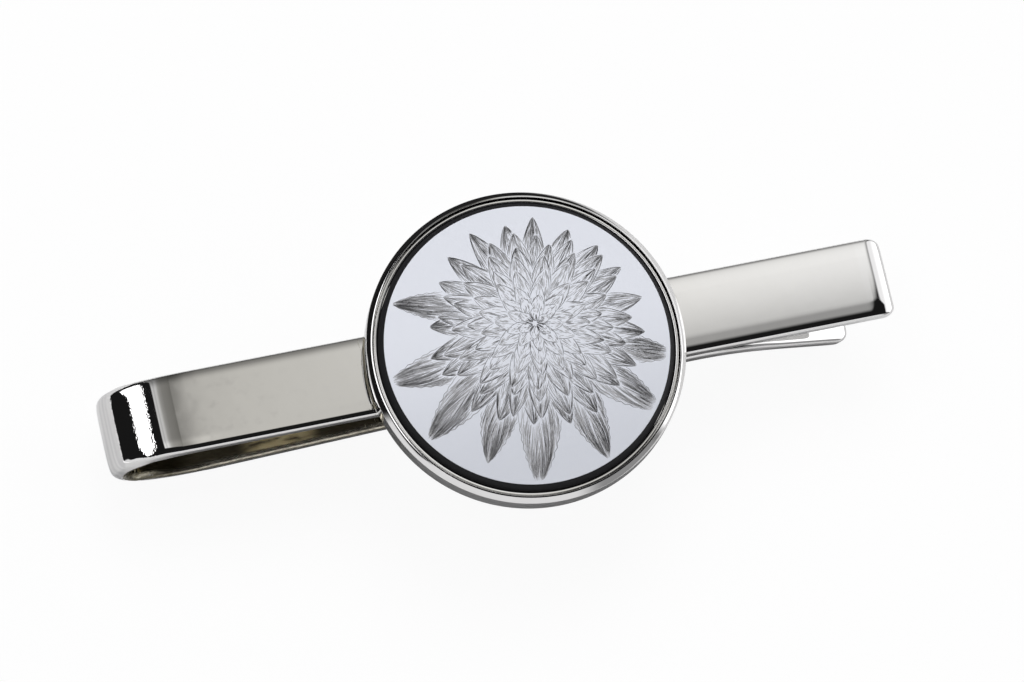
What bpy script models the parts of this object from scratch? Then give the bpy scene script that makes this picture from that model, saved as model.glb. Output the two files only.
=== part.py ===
"""Tie clip: one bent spring strip that carries a round tray with a picture disc.

The clip lies on its back leaf with the picture facing up. X runs along the strip from
the closed heel to the open jaw, Y runs across it, and Z points out of the picture.
X = 0 is half way along the clip, Y = 0 is the middle of the tray, and Z = 0 is the
lowest point of the strip. All sizes are in metres and all angles in degrees.
"""

import math

import bmesh
import bpy
from mathutils import Vector

# The strip, which is rolled flat stock with rounded edges
CLIP_LENGTH = 0.054
STRIP_WIDTH = 0.0055
STRIP_THICKNESS = 0.0012
EDGE_RADIUS = 0.00035

# Its two free ends, which run out in a nose: narrower, and rounded most on the outer side
END_LENGTH = 0.0009
END_CORNER = 0.0007
END_INNER_ROUNDING = 0.0002
END_FLAT_HEIGHT = 0.00025

# The bends of its middle line, in the order in which they follow the front leaf
SHOULDER_RADIUS = 0.006
SHOULDER_ANGLE = 20
HEEL_RADIUS = 0.00245
BELLY_RADIUS = 0.009
BELLY_DIP_ANGLE = 23
PINCH_RADIUS = 0.012
FLARE_ANGLE = 25

# Where the back leaf comes closest to the front leaf and where it ends
JAW_GAP = 0.00025
PINCH_FROM_END = 0.0136
TIP_FROM_END = 0.0027

# The strip is one piece of metal. It is divided in two places so that it can flex.
SEAM_INSET = 0.0005
SEAM_GAP = 0.0001

# The tray and what is stacked in it, from the leaf up
TRAY_FROM_END = 0.0255
STRIP_SIDE_SHIFT = 0.00057
SEAT_GAP = 0.00002
SOLDER_THICKNESS = 0.00008
SOLDER_BEAD = 0.00015
TRAY_HEIGHT = 0.00178
TRAY_FLOOR = 0.0005
ADHESIVE_THICKNESS = 0.0001
ADHESIVE_MARGIN = 0.00045
CORE_THICKNESS = 0.00136
FACE_THICKNESS = 0.00006

# Radii, from the picture outwards
CORE_RADIUS = 0.00995
CORE_BEVEL_WIDTH = 0.00033
CORE_BEVEL_HEIGHT = 0.00044
CORE_CLEARANCE = 0.00005
RING_WALL = 0.00021
RING_ROUNDING = 0.00013
RING_ROUNDING_HEIGHT = 0.00023
RING_ABOVE_RIM = 0.00003
RING_CLEARANCE = 0.00006
RIM_WALL = 0.00048
RIM_SHOULDER = 0.00034
FOOT_RADIUS = 0.0001

# How finely curves are divided
BEND_STEP_DEGREES = 4
CORNER_STEPS = 4
END_STEPS = 6
SHOULDER_STEPS = 5
RING_ROUNDING_STEPS = 3
SOLDER_END_STEPS = 8
ROUND_STEPS = 96
SHARP_ANGLE = 35

# The largest share of a wall or of a thickness that a rounding may take
ROUNDING_SHARE = 0.45
RIM_ROUNDING_SHARE = 0.75

# Points this close together count as one
MERGE_DISTANCE = 1e-7

STEEL_GREY = (0.62, 0.61, 0.58, 1.0)
SOLDER_YELLOW = (0.55, 0.50, 0.36, 1.0)
CORE_BLACK = (0.012, 0.012, 0.013, 1.0)
FACE_WHITE = (0.78, 0.79, 0.84, 1.0)
ADHESIVE_CREAM = (0.75, 0.72, 0.62, 1.0)


def clear_scene():
    for old in list(bpy.data.objects):
        bpy.data.objects.remove(old, do_unlink=True)


def new_collection(name):
    collection = bpy.data.collections.new(name)
    bpy.context.scene.collection.children.link(collection)
    return collection


def new_material(name, colour, roughness, metallic):
    material = bpy.data.materials.new(name)
    material.use_nodes = True
    surface = material.node_tree.nodes["Principled BSDF"]
    surface.inputs["Base Color"].default_value = colour
    surface.inputs["Roughness"].default_value = roughness
    surface.inputs["Metallic"].default_value = metallic
    return material


def new_object(name, data, collection, location=(0.0, 0.0, 0.0), parent=None):
    made = bpy.data.objects.new(name, data)
    made.location = location
    made.parent = parent
    collection.objects.link(made)
    return made


class StripPath:
    """The strip's middle line in the XZ plane, drawn as runs and arcs from a heading."""

    def __init__(self, x, z, heading):
        self.place = Vector((x, z))
        self.heading = heading
        self.points = [self.place.copy()]

    def forward(self):
        return Vector((math.cos(self.heading), math.sin(self.heading)))

    def left(self):
        return Vector((-math.sin(self.heading), math.cos(self.heading)))

    def centre(self, radius, turn):
        """The centre of an arc that starts here and turns left (1) or right (-1)."""
        return self.place + self.left() * radius * turn

    def run(self, length):
        self.place = self.place + self.forward() * length
        self.points.append(self.place.copy())

    def arc(self, radius, heading):
        """An arc from this heading to the next one, in equal steps."""
        sweep = heading - self.heading
        turn = math.copysign(1.0, sweep)
        centre = self.centre(radius, turn)
        steps = max(2, math.ceil(abs(math.degrees(sweep)) / BEND_STEP_DEGREES))
        for _ in range(steps):
            self.heading += sweep / steps
            self.place = centre - self.left() * radius * turn
            self.points.append(self.place.copy())


def end_drop():
    """How much lower the strip's outer side is at the tip of a free end."""
    return STRIP_THICKNESS - END_FLAT_HEIGHT - END_INNER_ROUNDING


def layout():
    """Works out the bend line from the driving sizes, and the heights that follow it.

    The heel's left side is set to half the clip's length. The straight back leaf is the
    line that touches the belly's arc from above and the pinch's arc from below.
    """
    half_length = CLIP_LENGTH / 2
    half_thickness = STRIP_THICKNESS / 2
    level = math.pi
    heel_heading = level + math.radians(SHOULDER_ANGLE)
    belly_heading = 2 * math.pi - math.radians(BELLY_DIP_ANGLE)

    trial = StripPath(0.0, 0.0, level)
    trial.arc(SHOULDER_RADIUS, heel_heading)
    heel_centre = trial.centre(HEEL_RADIUS, 1)
    shoulder_x = HEEL_RADIUS + half_thickness - heel_centre.x - half_length

    front = StripPath(half_length, 0.0, level)
    front.run(half_length - shoulder_x - SEAM_INSET)
    bend = StripPath(shoulder_x + SEAM_INSET, 0.0, level)
    bend.run(SEAM_INSET)
    bend.arc(SHOULDER_RADIUS, heel_heading)
    pivot = bend.centre(HEEL_RADIUS, 1)
    bend.arc(HEEL_RADIUS, belly_heading)
    belly_centre = bend.centre(BELLY_RADIUS, 1)

    pinch_x = half_length - PINCH_FROM_END
    pinch_centre = Vector((pinch_x, -STRIP_THICKNESS - JAW_GAP - PINCH_RADIUS))
    between = pinch_centre - belly_centre
    touching = math.asin((BELLY_RADIUS + PINCH_RADIUS) / between.length)
    leaf_heading = 2 * math.pi + math.atan2(between.y, between.x) + touching
    bend.arc(BELLY_RADIUS, leaf_heading)
    bend.run(SEAM_INSET)

    back = StripPath(bend.place.x, bend.place.y, leaf_heading)
    run_length = math.sqrt(between.length_squared - (BELLY_RADIUS + PINCH_RADIUS) ** 2)
    back.run(run_length - SEAM_INSET)
    back.arc(PINCH_RADIUS, 2 * math.pi - math.radians(FLARE_ANGLE))
    tip_x = half_length - TIP_FROM_END
    back.run((tip_x - back.place.x) / math.cos(back.heading))

    belly_low = belly_centre.y - BELLY_RADIUS - half_thickness
    down = -math.sin(back.heading)
    along = math.cos(back.heading)
    nose_start = back.place.y + END_LENGTH * down
    nose_reach = math.hypot(END_LENGTH * down, end_drop() * along)
    tip_low = nose_start - (half_thickness - end_drop()) * along - nose_reach
    return {
        "front": front.points,
        "bend": bend.points,
        "back": back.points,
        "pivot": pivot,
        "lift": -min(belly_low, tip_low),
    }


def shortened(points, start_cut, end_cut):
    """The same line with a little taken off either end."""
    first = points[0] + (points[1] - points[0]).normalized() * start_cut
    last = points[-1] + (points[-2] - points[-1]).normalized() * end_cut
    return [first, *points[1:-1], last]


def strip_section(collection):
    """The strip's cross-section, a rectangle with rounded corners, as a profile curve."""
    radius = min(EDGE_RADIUS, ROUNDING_SHARE * STRIP_THICKNESS)
    corner_y = STRIP_THICKNESS / 2 - radius
    corner_x = STRIP_WIDTH / 2 - radius
    curve = bpy.data.curves.new("strip_section", "CURVE")
    curve.dimensions = "2D"
    spline = curve.splines.new("POLY")
    spline.points.add(4 * (CORNER_STEPS + 1) - 1)
    index = 0
    for quarter, (side_x, side_y) in enumerate(((1, 1), (-1, 1), (-1, -1), (1, -1))):
        for step in range(CORNER_STEPS + 1):
            angle = math.pi / 2 * (quarter + step / CORNER_STEPS)
            across = side_x * corner_x + radius * math.cos(angle)
            through = side_y * corner_y + radius * math.sin(angle)
            spline.points[index].co = (through, across, 0.0, 1.0)
            index += 1
    spline.use_cyclic_u = True
    section = new_object("strip_section", curve, collection)
    section.hide_render = True
    section.display_type = "WIRE"
    return section


def swept_strip(name, line, origin, section, collection, material):
    """A length of strip along a line in the XZ plane, as a closed mesh.

    The curve is drawn in its own XY plane, which the object's quarter turn stands up.
    """
    curve = bpy.data.curves.new(name, "CURVE")
    curve.dimensions = "2D"
    curve.fill_mode = "NONE"
    curve.bevel_mode = "OBJECT"
    curve.bevel_object = section
    curve.use_fill_caps = True
    spline = curve.splines.new("POLY")
    spline.points.add(len(line) - 1)
    for point, place in zip(spline.points, line):
        point.co = (place.x - origin.x, place.y - origin.y, 0.0, 1.0)
    guide = new_object(name + "_guide", curve, collection)
    guide.rotation_euler = (math.pi / 2, 0.0, 0.0)
    bpy.context.view_layer.update()
    graph = bpy.context.evaluated_depsgraph_get()
    mesh = bpy.data.meshes.new_from_object(guide.evaluated_get(graph))
    mesh.transform(guide.matrix_world)
    bpy.data.objects.remove(guide, do_unlink=True)

    shape = bmesh.new()
    shape.from_mesh(mesh)
    bmesh.ops.remove_doubles(shape, verts=shape.verts, dist=MERGE_DISTANCE)
    bmesh.ops.recalc_face_normals(shape, faces=shape.faces)
    shape.to_mesh(mesh)
    shape.free()
    mesh.name = name
    mesh.materials.clear()
    mesh.materials.append(material)
    return mesh


def grow_free_end(mesh, end, outward, outer):
    """Pushes the flat end out in steps to a nose, each step narrower and thinner.

    The end's middle, the way it faces and the way of the strip's outer side are given.
    """
    shape = bmesh.new()
    shape.from_mesh(mesh)
    cap = [
        face
        for face in shape.faces
        if abs((face.calc_center_median() - end).dot(outward)) < MERGE_DISTANCE
    ]
    tip = bmesh.ops.dissolve_faces(shape, faces=cap)["region"][0]
    middle = end
    width = STRIP_WIDTH
    height = STRIP_THICKNESS
    for step in range(1, END_STEPS + 1):
        angle = math.pi / 2 * step / END_STEPS
        shrunk = 1 - math.cos(angle)
        lowered = (END_INNER_ROUNDING - end_drop()) / 2 * shrunk
        new_middle = end + outward * END_LENGTH * math.sin(angle) + outer * lowered
        new_width = STRIP_WIDTH - 2 * END_CORNER * shrunk
        new_height = STRIP_THICKNESS - (END_INNER_ROUNDING + end_drop()) * shrunk
        tip = bmesh.ops.extrude_discrete_faces(shape, faces=[tip])["faces"][0]
        for corner in tip.verts:
            offset = corner.co - middle
            through = outer * offset.dot(outer) * new_height / height
            across = Vector((0.0, offset.y * new_width / width, 0.0))
            corner.co = new_middle + through + across
        middle, width, height = new_middle, new_width, new_height
    shape.to_mesh(mesh)
    shape.free()


def upright(place):
    """A place or a direction on the bend line, as one in space."""
    return Vector((place.x, 0.0, place.y))


def shade(made):
    made.data.shade_smooth()
    made.data.set_sharp_from_angle(angle=math.radians(SHARP_ANGLE))


def turned(name, profile, closed, collection, parent, material):
    """A turned piece. The profile's outer side runs from top to bottom."""
    mesh = bpy.data.meshes.new(name)
    points = [(radius, 0.0, height) for radius, height in profile]
    edges = [(index, index + 1) for index in range(len(points) - 1)]
    if closed:
        edges.append((len(points) - 1, 0))
    mesh.from_pydata(points, edges, [])
    mesh.materials.append(material)
    made = new_object(name, mesh, collection, parent=parent)
    screw = made.modifiers.new("turn", "SCREW")
    screw.axis = "Z"
    screw.steps = ROUND_STEPS
    screw.render_steps = ROUND_STEPS
    screw.use_merge_vertices = True
    screw.merge_threshold = MERGE_DISTANCE
    screw.use_smooth_shade = True
    return made


def quarter_round(centre_radius, centre_height, across, up, steps):
    """A quarter ellipse as (radius, height) pairs, from its top to its side.

    It bulges outwards where across is above zero, and inwards where it is below.
    """
    points = []
    for step in range(steps + 1):
        angle = math.pi / 2 * (1 - step / steps)
        radius = centre_radius + across * math.cos(angle)
        points.append((radius, centre_height + up * math.sin(angle)))
    return points


def stack_levels():
    """Heights over the front leaf of everything that is stacked on it."""
    solder = SEAT_GAP
    tray = solder + SOLDER_THICKNESS + SEAT_GAP
    floor = tray + TRAY_FLOOR
    adhesive = floor + SEAT_GAP
    core = adhesive + ADHESIVE_THICKNESS + SEAT_GAP
    face = core + CORE_THICKNESS + SEAT_GAP
    return {
        "solder": solder,
        "tray": tray,
        "floor": floor,
        "adhesive": adhesive,
        "core": core,
        "face": face,
    }


def tray_radii():
    ring_inside = CORE_RADIUS + CORE_CLEARANCE
    ring_outside = ring_inside + RING_WALL
    rim_inside = ring_outside + RING_CLEARANCE
    rim_outside = rim_inside + RIM_WALL
    return ring_inside, ring_outside, rim_inside, rim_outside


def make_tray(collection, parent, material):
    """The round tray: a flat floor and an upright wall with a rounded outer shoulder."""
    _, _, rim_inside, rim_outside = tray_radii()
    level = stack_levels()
    foot = level["tray"]
    crest = foot + TRAY_HEIGHT
    shoulder = min(RIM_SHOULDER, RIM_ROUNDING_SHARE * RIM_WALL)
    profile = [(0.0, level["floor"]), (rim_inside, level["floor"]), (rim_inside, crest)]
    profile += quarter_round(
        rim_outside - shoulder, crest - shoulder, shoulder, shoulder, SHOULDER_STEPS
    )
    profile += [
        (rim_outside, foot + FOOT_RADIUS),
        (rim_outside - FOOT_RADIUS, foot),
        (0.0, foot),
    ]
    return turned("tray", profile, False, collection, parent, material)


def make_bezel_ring(collection, parent, material):
    """The thin bright ring between the disc and the wall, rounded on its inner top edge."""
    ring_inside, ring_outside, _, _ = tray_radii()
    level = stack_levels()
    bottom = level["floor"] + SEAT_GAP
    top = level["tray"] + TRAY_HEIGHT + RING_ABOVE_RIM
    rounding = min(RING_ROUNDING, RIM_ROUNDING_SHARE * RING_WALL)
    inner_edge = quarter_round(
        ring_inside + rounding,
        top - RING_ROUNDING_HEIGHT,
        -rounding,
        RING_ROUNDING_HEIGHT,
        RING_ROUNDING_STEPS,
    )
    profile = [(ring_outside, top), (ring_outside, bottom), (ring_inside, bottom)]
    profile += reversed(inner_edge)
    return turned("bezel_ring", profile, True, collection, parent, material)


def make_adhesive_disc(collection, parent, material):
    """The double-sided pad that holds the disc on the tray's floor."""
    bottom = stack_levels()["adhesive"]
    radius = CORE_RADIUS - ADHESIVE_MARGIN
    top = bottom + ADHESIVE_THICKNESS
    profile = [(0.0, top), (radius, top), (radius, bottom), (0.0, bottom)]
    return turned("adhesive_disc", profile, False, collection, parent, material)


def make_core_disc(collection, parent, material):
    """The black disc, whose bevelled edge shows as a dark ring round the picture."""
    bottom = stack_levels()["core"]
    top = bottom + CORE_THICKNESS
    profile = [
        (0.0, top),
        (CORE_RADIUS - CORE_BEVEL_WIDTH, top),
        (CORE_RADIUS, top - CORE_BEVEL_HEIGHT),
        (CORE_RADIUS, bottom),
        (0.0, bottom),
    ]
    return turned("core_disc", profile, False, collection, parent, material)


def make_picture_face(collection, parent, material):
    """The thin pale layer on top of the black disc, which carries the drawing."""
    bottom = stack_levels()["face"]
    radius = CORE_RADIUS - CORE_BEVEL_WIDTH
    top = bottom + FACE_THICKNESS
    profile = [(0.0, top), (radius, top), (radius, bottom), (0.0, bottom)]
    return turned("picture_face", profile, False, collection, parent, material)


def make_solder_joint(collection, parent, material):
    """The film of solder between leaf and tray, a little longer than the tray is wide."""
    rim_outside = tray_radii()[3]
    half_width = STRIP_WIDTH / 2 - EDGE_RADIUS
    reach = rim_outside + SOLDER_BEAD
    half_angle = math.asin(half_width / reach)
    outline = []
    for side in (0.0, math.pi):
        for step in range(SOLDER_END_STEPS + 1):
            angle = side - half_angle + 2 * half_angle * step / SOLDER_END_STEPS
            outline.append((reach * math.cos(angle), reach * math.sin(angle)))
    curve = bpy.data.curves.new("solder_joint", "CURVE")
    curve.dimensions = "2D"
    curve.fill_mode = "BOTH"
    curve.extrude = SOLDER_THICKNESS / 2
    spline = curve.splines.new("POLY")
    spline.points.add(len(outline) - 1)
    for point, (x, y) in zip(spline.points, outline):
        point.co = (x, y, 0.0, 1.0)
    spline.use_cyclic_u = True
    curve.materials.append(material)
    middle = stack_levels()["solder"] + SOLDER_THICKNESS / 2
    place = (0.0, STRIP_SIDE_SHIFT, middle)
    return new_object("solder_joint", curve, collection, place, parent)


def make_strip(collection, helpers, material):
    """The three lengths of the bent strip: the front leaf, the bend and the back leaf."""
    plan = layout()
    section = strip_section(helpers)
    pivot = plan["pivot"]
    lift = plan["lift"]
    half_gap = SEAM_GAP / 2
    nowhere = Vector((0.0, 0.0))

    front_line = shortened(plan["front"], END_LENGTH, half_gap)
    bend_line = shortened(plan["bend"], half_gap, half_gap)
    back_line = shortened(plan["back"], half_gap, END_LENGTH)

    front = swept_strip("front_leaf", front_line, nowhere, section, helpers, material)
    outward = (front_line[0] - front_line[1]).normalized()
    outer = Vector((-outward.y, outward.x))
    grow_free_end(front, upright(front_line[0]), upright(outward), upright(outer))
    leaf = new_object("front_leaf", front, collection, (0.0, STRIP_SIDE_SHIFT, lift))
    shade(leaf)

    bend = swept_strip("spring_bend", bend_line, pivot, section, helpers, material)
    place = (pivot.x, STRIP_SIDE_SHIFT, pivot.y + lift)
    shade(new_object("spring_bend", bend, collection, place))

    back = swept_strip("back_leaf", back_line, pivot, section, helpers, material)
    outward = (back_line[-1] - back_line[-2]).normalized()
    outer = Vector((outward.y, -outward.x))
    grow_free_end(back, upright(back_line[-1] - pivot), upright(outward), upright(outer))
    shade(new_object("back_leaf", back, collection, place))
    return lift + STRIP_THICKNESS / 2


def build():
    clear_scene()
    clip = new_collection("tie_clip")
    helpers = new_collection("helpers")
    steel = new_material("plated_metal", STEEL_GREY, 0.12, 1.0)
    solder = new_material("solder", SOLDER_YELLOW, 0.35, 1.0)
    black = new_material("black_core", CORE_BLACK, 0.55, 0.0)
    white = new_material("picture_white", FACE_WHITE, 0.5, 0.0)
    cream = new_material("adhesive", ADHESIVE_CREAM, 0.6, 0.0)

    leaf_top = make_strip(clip, helpers, steel)
    tray_x = CLIP_LENGTH / 2 - TRAY_FROM_END
    tray_seat = new_object("tray_seat", None, clip, (tray_x, 0.0, leaf_top))
    make_solder_joint(clip, tray_seat, solder)
    make_tray(clip, tray_seat, steel)
    make_bezel_ring(clip, tray_seat, steel)
    make_adhesive_disc(clip, tray_seat, cream)
    make_core_disc(clip, tray_seat, black)
    make_picture_face(clip, tray_seat, white)


build()
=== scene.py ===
# %% [markdown]
# # A tie clip with a round picture tray
#
# The clip is one polished, plated strip that is bent back on itself, with a small round
# tray soldered to its front. This lesson loads the CAD model, makes a finer surface for
# each piece in mesh code, and lights it as a jeweller's photographer would. A mirror shows
# little of itself and much of its room, so half of the work is the room.

import math
import random

import bpy
from mathutils import Matrix, Vector


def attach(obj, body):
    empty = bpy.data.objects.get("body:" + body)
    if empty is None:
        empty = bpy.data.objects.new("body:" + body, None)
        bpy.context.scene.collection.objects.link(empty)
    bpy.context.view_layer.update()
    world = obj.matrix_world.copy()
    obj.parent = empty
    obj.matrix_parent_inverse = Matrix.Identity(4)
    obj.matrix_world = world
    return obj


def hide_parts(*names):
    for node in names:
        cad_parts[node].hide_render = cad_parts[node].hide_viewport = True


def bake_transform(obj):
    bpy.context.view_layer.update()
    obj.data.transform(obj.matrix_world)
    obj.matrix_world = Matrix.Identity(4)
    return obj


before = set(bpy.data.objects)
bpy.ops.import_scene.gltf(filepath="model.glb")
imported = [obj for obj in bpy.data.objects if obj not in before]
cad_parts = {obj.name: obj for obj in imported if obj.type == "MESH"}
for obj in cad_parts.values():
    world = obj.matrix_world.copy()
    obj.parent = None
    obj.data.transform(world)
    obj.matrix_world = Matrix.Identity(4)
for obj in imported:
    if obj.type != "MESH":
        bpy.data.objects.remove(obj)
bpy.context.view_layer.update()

# %% [markdown]
# ## Writing shaders as sums
#
# A material's mathematics can be drawn as nodes, one for each plus or times. Written in
# Python it reads more easily. The class below wraps a node's output, so that an expression
# such as `1 - mask` adds the Math nodes that work it out.

# %% A value that Python can calculate with
class Value:
    """The output of a node. Arithmetic on it adds Math nodes to the same tree."""

    def __init__(self, finish, socket):
        self.finish = finish
        self.socket = socket

    def maths(self, operation, first, second):
        return self.finish.node("ShaderNodeMath", {"operation": operation}, {0: first, 1: second})

    def __add__(self, other):
        return self.maths("ADD", self, other)

    def __sub__(self, other):
        return self.maths("SUBTRACT", self, other)

    def __rsub__(self, other):
        return self.maths("SUBTRACT", other, self)

    def __mul__(self, other):
        return self.maths("MULTIPLY", self, other)

    def __truediv__(self, other):
        return self.maths("DIVIDE", self, other)

    def __pow__(self, other):
        return self.maths("POWER", self, other)

    def at_least(self, other):
        return self.maths("MAXIMUM", self, other)

    __radd__ = __add__
    __rmul__ = __mul__


# %% A tree of nodes that is filled by calls
class Finish:
    """A material or a world, and one method that adds any node to it."""

    def __init__(self, owner):
        owner.use_nodes = True
        self.owner = owner
        self.tree = owner.node_tree

    def node(self, kind, settings=None, inputs=None, output=0):
        made = self.tree.nodes.new(kind)
        for name, setting in (settings or {}).items():
            if name == "stops":
                ramp = made.color_ramp.elements
                for index, (position, colour) in enumerate(setting):
                    stop = ramp[index] if index < 2 else ramp.new(position)
                    stop.position = position
                    stop.color = colour
            else:
                setattr(made, name, setting)
        for name, value in (inputs or {}).items():
            self.feed(made.inputs[name], value)
        return Value(self, made.outputs[output])

    def feed(self, socket, value):
        if isinstance(value, Value):
            self.tree.links.new(value.socket, socket)
        else:
            socket.default_value = value

    def place(self, per_mm=(1.0, 1.0, 1.0)):
        """The surface point in millimetres of the model, stretched by three factors."""
        point = self.node("ShaderNodeTexCoord", output="Object")
        stretch = tuple(1000.0 * factor for factor in per_mm)
        return self.node("ShaderNodeVectorMath", {"operation": "MULTIPLY"}, {0: point, 1: stretch})

    def parts(self, vector):
        """The three numbers of a vector."""
        return [
            self.node("ShaderNodeSeparateXYZ", inputs={0: vector}, output=axis)
            for axis in range(3)
        ]

    def noise(self, place, scale, detail=2.0, roughness=0.5):
        return self.node(
            "ShaderNodeTexNoise",
            inputs={"Vector": place, "Scale": scale, "Detail": detail, "Roughness": roughness},
        )

    def ramp(self, value, low, high, start=0.0, end=1.0):
        """Runs smoothly from start to end while the value goes from low to high."""
        return self.node(
            "ShaderNodeMapRange",
            {"interpolation_type": "SMOOTHSTEP"},
            {"Value": value, "From Min": low, "From Max": high, "To Min": start, "To Max": end},
        )

    def mixed(self, factor, first, second):
        return self.node(
            "ShaderNodeMix", {"data_type": "RGBA"}, {0: factor, 6: first, 7: second}, output=2
        )

    def bump(self, height, distance, normal=None):
        inputs = {"Height": height, "Distance": distance, "Strength": 1.0}
        if normal is not None:
            inputs["Normal"] = normal
        return self.node("ShaderNodeBump", inputs=inputs)

    def surface(self, **sockets):
        """Sets or links the sockets of the material's Principled BSDF by name."""
        shader = self.tree.nodes["Principled BSDF"]
        for name, value in sockets.items():
            self.feed(shader.inputs[name.replace("_", " ")], value)


def new_finish(name):
    return Finish(bpy.data.materials.new(name))


print("Shader helpers are ready")

# %% [markdown]
# ## Pieces from corners and faces
#
# All sizes below are in millimetres, as a maker would write them, and each piece is turned
# into metres once, when its mesh is made. Most pieces ride on a body of the CAD model, and a
# piece that covers a node of the model hides that node.

# %% Turn corners and faces into a piece
MM = 0.001
SHARP_EDGE = math.radians(35)


def add_piece(name, corners, faces, finish, slot, replaced=(), marks=None):
    """Adds a mesh. The marks are (name, one colour per corner), for a finish to read."""
    mesh = bpy.data.meshes.new(name)
    mesh.from_pydata([Vector(corner) * MM for corner in corners], [], faces)
    mesh.materials.append(finish.owner)
    if marks:
        colours = mesh.color_attributes.new(marks[0], "FLOAT_COLOR", "POINT")
        colours.data.foreach_set("color", [part for colour in marks[1] for part in colour])
    mesh.shade_smooth()
    mesh.set_sharp_from_angle(angle=SHARP_EDGE)
    piece = bpy.data.objects.new(name, mesh)
    bpy.context.scene.collection.objects.link(piece)
    if replaced:
        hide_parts(*replaced)
    print(f"{name}: {len(corners)} corners")
    return piece


def joined_rings(rings, looped=False):
    """Corners and faces of a tube through rings of corners, closed at its ends or looped."""
    count = len(rings[0])
    corners = [corner for ring in rings for corner in ring]
    total = len(corners)
    faces = []
    for start in range(0, total if looped else total - count, count):
        for index in range(count):
            after = (index + 1) % count
            quad = (start + index, start + after, start + count + after, start + count + index)
            faces.append(tuple(corner % total for corner in quad))
    if not looped:
        faces.append(tuple(reversed(range(count))))
        faces.append(tuple(range(total - count, total)))
    return corners, faces


# %% [markdown]
# ## Plated metal
#
# Bright plating over a polished strip is a mirror with faults: the metal under it waves a
# little, fine polishing lines run along it, and it is duller in clouds where it was held. A
# mirror takes its look from what it reflects, so its own colour is only a light warm grey,
# and the faults are bumps of a few thousandths of a millimetre. Their depths are in metres.

# %% The plating that strip and tray share
TRAY_X = 1.5
SIDE_SHIFT = 0.57
PLATING_TONES = ((0.69, 0.684, 0.672, 1.0), (0.715, 0.708, 0.697, 1.0))
WAVE_DEPTH = 2.2e-6
LINE_DEPTH = 0.05e-6


def plated_metal(name):
    """A finish with the plating's place, colour, roughness and normal, for more to be added."""
    finish = new_finish(name)
    here = finish.place()
    cloud = finish.noise(here, 1.3, 3.0)
    shine = finish.mixed(cloud, *PLATING_TONES)
    dull = 0.02 + 0.05 * finish.ramp(cloud, 0.45, 0.75)
    normal = finish.bump(finish.noise(here, 0.35, 2.0), WAVE_DEPTH)
    lines = finish.noise(finish.place((0.25, 9.0, 9.0)), 1.0, 3.0, 0.6)
    normal = finish.bump(lines, LINE_DEPTH, normal)
    return finish, here, shine, dull, normal


def tray_plating():
    finish, _, shine, dull, normal = plated_metal("polished_tray_plating")
    finish.surface(Base_Color=shine, Metallic=1.0, Roughness=dull, Normal=normal)
    return finish


tray_finish = tray_plating()
print("The tray's plating is ready")

# %% [markdown]
# ## Marks on the strip alone
#
# Where the strip was bent its outer skin was stretched and grew grainy, which frays the edge
# of every reflection there. A yellow stain lies round the tray's foot, and the end of the
# heel is rubbed grey. No buffing wheel could reach inside the fold: the metal is warmer
# there, dust sits along its edges, and under the front leaf a dark film has dried with pale
# patches. Deep in the fold, towards the heel, the metal is painted dark as shade. Each mark
# is a mask that is worked out from the place on the strip, so that a real mark lies where a
# hand or a tool would leave it.

# %% Where the marks are, in millimetres, and their colours
STRETCHED_FROM = (-23.72, -23.95)
STRETCHED_LESS = (-25.6, -24.7, 0.35, 1.0)
GRAIN_DEPTH = 5.5e-6
STAIN_ROUND_TRAY = (10.95, 11.3, 1.0, 0.0)
RUBBED_HEEL = (-25.6, -26.2)
FOLD_BEGINS = (4.0, -2.0)
# Where the painted shade deep in the fold begins and where it is full
FOLD_SHADE_DEEPENS = (-20.5, -22.5)
DUSTY_FROM_MIDDLE = (2.2, 2.6)
UNDER_FRONT_LEAF = (3.4, 4.0)
PATCHES_BEGIN = (-18.6, -16.8)
PATCHES_END = (-12.6, -14.2)

YELLOW_STAIN = (0.36, 0.34, 0.22, 1.0)
RUBBED_GREY = (0.30, 0.30, 0.31, 1.0)
WARM_METAL = (0.62, 0.58, 0.48, 1.0)
# A dark colour deep in the fold: painted shade, not a mark on the metal
PAINTED_FOLD_SHADE = (0.20, 0.18, 0.13, 1.0)
EDGE_DUST = (0.34, 0.32, 0.26, 1.0)
DARK_FILM = (0.055, 0.05, 0.035, 1.0)
PALE_PATCH = (0.80, 0.72, 0.50, 1.0)
print("The marks are placed")


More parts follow.
